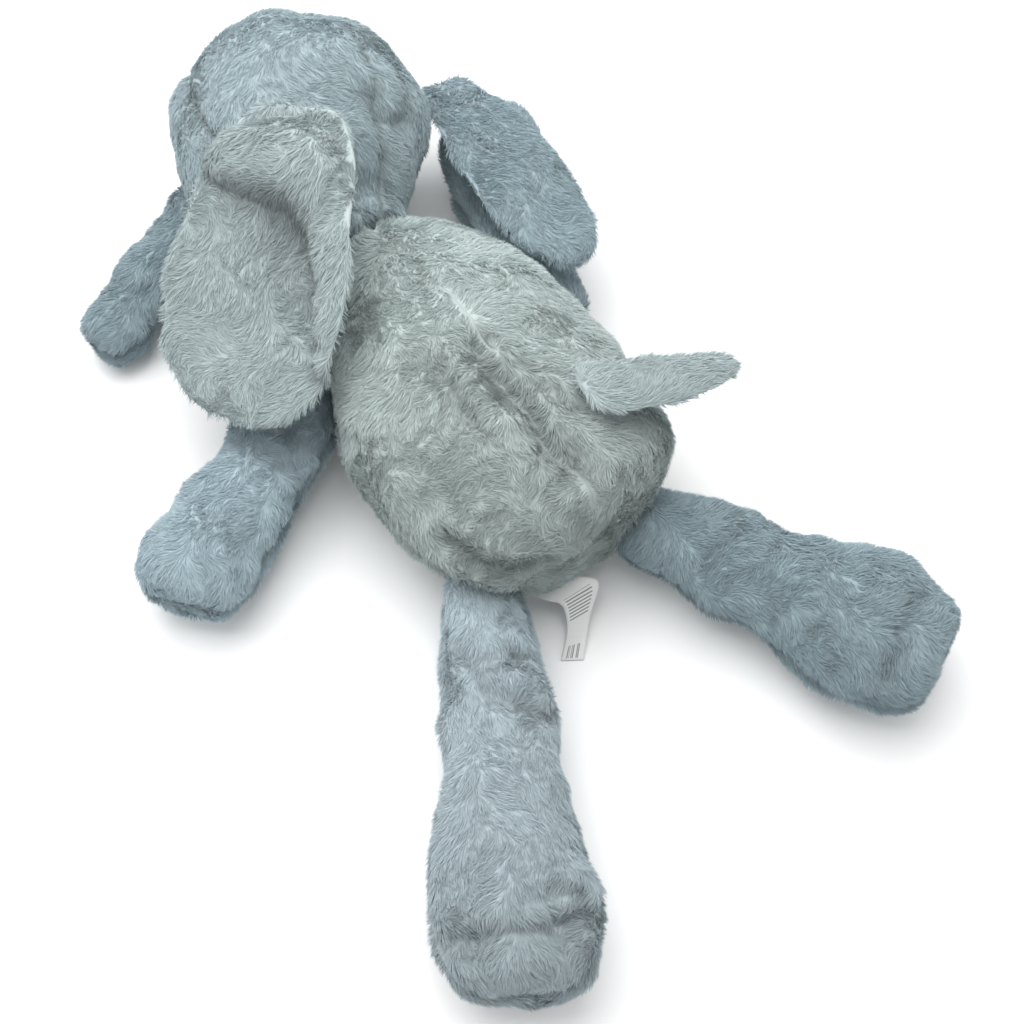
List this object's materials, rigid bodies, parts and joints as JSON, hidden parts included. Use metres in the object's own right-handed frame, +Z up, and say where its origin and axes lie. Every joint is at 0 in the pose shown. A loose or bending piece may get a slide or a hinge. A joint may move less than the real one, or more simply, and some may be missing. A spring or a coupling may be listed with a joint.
{
  "type": "stuffed elephant",
  "caption": "Long-legged plush elephant lying on its belly, big flap ears, short trunk, flat tail and limp stuffed legs.",
  "frame": {"origin": "on the floor, under the middle of the space that the toy takes up as it lies", "axes": "+Z up from the floor, +Y towards the crown of the head, +X towards the toy's right side"},
  "size_m": [0.5844, 0.9148, 0.2639],
  "materials": {
    "mint_plush": "long combed pile",
    "blue_grey_plush": "long combed pile",
    "fibre_filling": "loose polyester fibre",
    "label_satin": "satin ribbon",
    "knot_thread": "twisted thread",
    "eye_plastic": "polished dome",
    "washer_plastic": "moulded"
  },
  "bodies": {
    "torso": {"body_back_left": "mint_plush", "body_back_right": "mint_plush", "belly_panel": "mint_plush", "body_stuffing": "fibre_filling"},
    "head": {"head_back_left": "blue_grey_plush", "head_back_right": "blue_grey_plush", "head_face_left": "blue_grey_plush", "head_face_right": "blue_grey_plush", "head_stuffing": "fibre_filling", "crown_knot": "knot_thread", "eye_left": "eye_plastic", "eye_right": "eye_plastic", "eye_washer_left": "washer_plastic", "eye_washer_right": "washer_plastic"},
    "trunk": {"trunk_upper": "blue_grey_plush", "trunk_under": "blue_grey_plush", "trunk_stuffing": "fibre_filling"},
    "ear_left": {"ear_left_outer": "mint_plush", "ear_left_inner": "mint_plush"},
    "ear_right": {"ear_right_outer": "blue_grey_plush", "ear_right_inner": "blue_grey_plush"},
    "foreleg_left": {"foreleg_left_outer": "blue_grey_plush", "foreleg_left_inner": "blue_grey_plush", "foreleg_left_stuffing": "fibre_filling"},
    "foreleg_right": {"foreleg_right_outer": "blue_grey_plush", "foreleg_right_inner": "blue_grey_plush", "foreleg_right_stuffing": "fibre_filling"},
    "hind_leg_left": {"hind_leg_left_outer": "blue_grey_plush", "hind_leg_left_inner": "blue_grey_plush", "hind_leg_left_stuffing": "fibre_filling"},
    "hind_leg_right": {"hind_leg_right_outer": "blue_grey_plush", "hind_leg_right_inner": "blue_grey_plush", "hind_leg_right_stuffing": "fibre_filling"},
    "tail": {"tail_upper": "mint_plush", "tail_under": "mint_plush"},
    "label": {"sewn_label": "label_satin"}
  },
  "joints": [
    {"name": "head_nod", "type": "hinge", "parent": "torso", "child": "head", "pos_m": [0.05546, 0.2367, 0.108], "axis": [1, 0, 0], "range_deg": [0, 9]},
    {"name": "trunk_swing", "type": "hinge", "parent": "head", "child": "trunk", "pos_m": [-0.05842, 0.377, 0.045], "axis": [0, 0, -1], "range_deg": [0, 35]},
    {"name": "ear_left_flap", "type": "hinge", "parent": "head", "child": "ear_left", "pos_m": [0.01445, 0.26246, 0.25132], "axis": [-0.5952, 0.7629, -0.2524], "range_deg": [0, 60]},
    {"name": "ear_right_flap", "type": "hinge", "parent": "head", "child": "ear_right", "pos_m": [0.21957, 0.34848, 0.10525], "axis": [-0.9864, 0.079, 0.1438], "range_deg": [0, 40]},
    {"name": "foreleg_left_swing", "type": "hinge", "parent": "torso", "child": "foreleg_left", "pos_m": [-0.06582, 0.13228, 0.057], "axis": [0, 0, 1], "range_deg": [-25, 3]},
    {"name": "foreleg_right_swing", "type": "hinge", "parent": "torso", "child": "foreleg_right", "pos_m": [0.1726, 0.10108, 0.049], "axis": [0, 0, -1], "range_deg": [0, 40]},
    {"name": "hind_leg_left_lift", "type": "hinge", "parent": "torso", "child": "hind_leg_left", "pos_m": [-0.05272, -0.14852, 0.05], "axis": [-0.891, 0.454, 0], "range_deg": [0, 30]},
    {"name": "hind_leg_right_lift", "type": "hinge", "parent": "torso", "child": "hind_leg_right", "pos_m": [0.1202, -0.16022, 0.05], "axis": [-0.891, -0.454, 0], "range_deg": [0, 30]},
    {"name": "tail_lift", "type": "hinge", "parent": "torso", "child": "tail", "pos_m": [0.09453, -0.08612, 0.208], "axis": [-0.2421, -0.9701, 0.0169], "range_deg": [0, 60]},
    {"name": "label_lift", "type": "hinge", "parent": "torso", "child": "label", "pos_m": [0.01546, -0.16602, 0.024], "axis": [-0.9957, 0.0902, 0.0204], "range_deg": [0, 50]}
  ]
}
